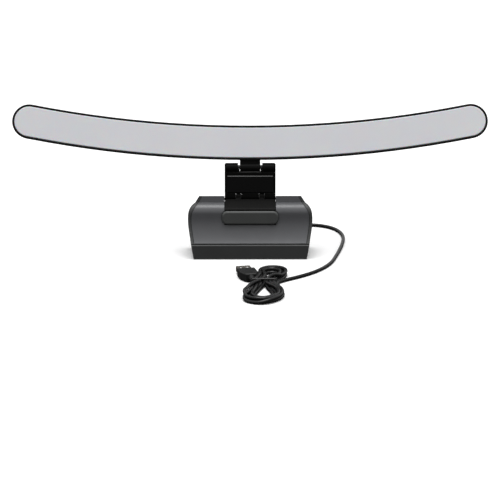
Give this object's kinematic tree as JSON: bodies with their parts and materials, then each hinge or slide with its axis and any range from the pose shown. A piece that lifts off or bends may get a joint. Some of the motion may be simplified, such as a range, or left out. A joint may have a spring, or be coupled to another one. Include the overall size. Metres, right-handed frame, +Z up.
{
  "type": "monitor light bar",
  "caption": "Curved LED light bar with a milky diffuser on a tilting head, hinged arm and spring clamp with a heavy rear base, with a tied USB lead.",
  "frame": {"origin": "centre of the base's flat bottom face, under the hinges", "axes": "+Z up with the lamp standing on its base, X along the bar, -Y the side the light faces at rest"},
  "size_m": [0.415, 0.2619, 0.1318],
  "materials": {
    "base_plastic": "fine satin texture",
    "base_panel": "satin",
    "lip_plastic": "satin",
    "black_plastic": "satin",
    "gloss_black": "polished",
    "bar_plastic": "satin",
    "milky_diffuser": "frosted",
    "white_film": "matte",
    "white_board": "solder mask",
    "led_package": "phosphor",
    "circuit_board": "solder mask",
    "component": "moulded",
    "copper_foil": "foil",
    "screw_steel": "zinc plated",
    "pin_steel": "ground",
    "spring_steel": "drawn wire",
    "weight_steel": "as cut",
    "plated_steel": "nickel plated",
    "warm_plated_steel": "nickel plated",
    "connector_plastic": "moulded",
    "plug_plastic": "satin",
    "cord_sleeve": "glossy PVC",
    "tie_plastic": "satin",
    "wire_sleeve": "satin",
    "black_rubber": "matte",
    "foam": "open cell",
    "washer_nylon": "moulded"
  },
  "bodies": {
    "base": {"base_housing": "base_plastic", "base_front_panel": "base_panel", "base_rear_cover": "base_plastic", "base_rear_screws": "screw_steel", "counterweight": "weight_steel", "counterweight_pads": "foam", "usb_socket_shell": "plated_steel", "usb_socket_tongue": "connector_plastic", "power_board": "circuit_board", "power_parts": "component", "base_wires": "wire_sleeve", "clamp_pin": "pin_steel", "usb_c_shell": "plated_steel", "usb_c_overmold": "plug_plastic", "usb_c_relief": "plug_plastic", "lead_cord": "cord_sleeve", "lead_hank": "cord_sleeve", "lead_tie": "tie_plastic", "usb_a_relief": "plug_plastic", "usb_a_overmold": "plug_plastic", "usb_a_shell": "warm_plated_steel", "usb_a_tongue": "connector_plastic"},
    "saddle": {"saddle_frame": "black_plastic", "front_lip": "lip_plastic", "lip_pad": "black_rubber", "saddle_pad": "black_rubber", "lip_screws": "screw_steel", "saddle_washers": "washer_nylon", "arm_pin": "pin_steel", "clamp_springs": "spring_steel"},
    "arm": {"arm_frame": "black_plastic", "arm_front_cover": "gloss_black", "arm_rear_cover": "black_plastic", "arm_screws": "screw_steel", "arm_wires": "wire_sleeve", "tilt_pin": "pin_steel", "tilt_washers": "washer_nylon"},
    "head": {"neck_bracket": "black_plastic", "neck_screws": "screw_steel", "bar_housing": "bar_plastic", "bar_bezel": "bar_plastic", "diffuser": "milky_diffuser", "reflector_film": "white_film", "led_board": "white_board", "leds": "led_package", "led_board_screws": "screw_steel", "control_board": "circuit_board", "control_parts": "component", "touch_electrode": "copper_foil", "head_wires": "wire_sleeve"}
  },
  "joints": [
    {"name": "clamp", "type": "hinge", "parent": "base", "child": "saddle", "pos_m": [0, 0.009, 0.0445], "axis": [-1, 0, 0], "range_deg": [0, 60], "stiffness_Nm_per_rad": 0.3, "springref_deg": -45.84},
    {"name": "arm_lean", "type": "hinge", "parent": "saddle", "child": "arm", "pos_m": [0, 0.002, 0.0515], "axis": [1, 0, 0], "range_deg": [-25, 65]},
    {"name": "head_tilt", "type": "hinge", "parent": "arm", "child": "head", "pos_m": [0, 0.002, 0.0775], "axis": [1, 0, 0], "range_deg": [-30, 105]}
  ]
}
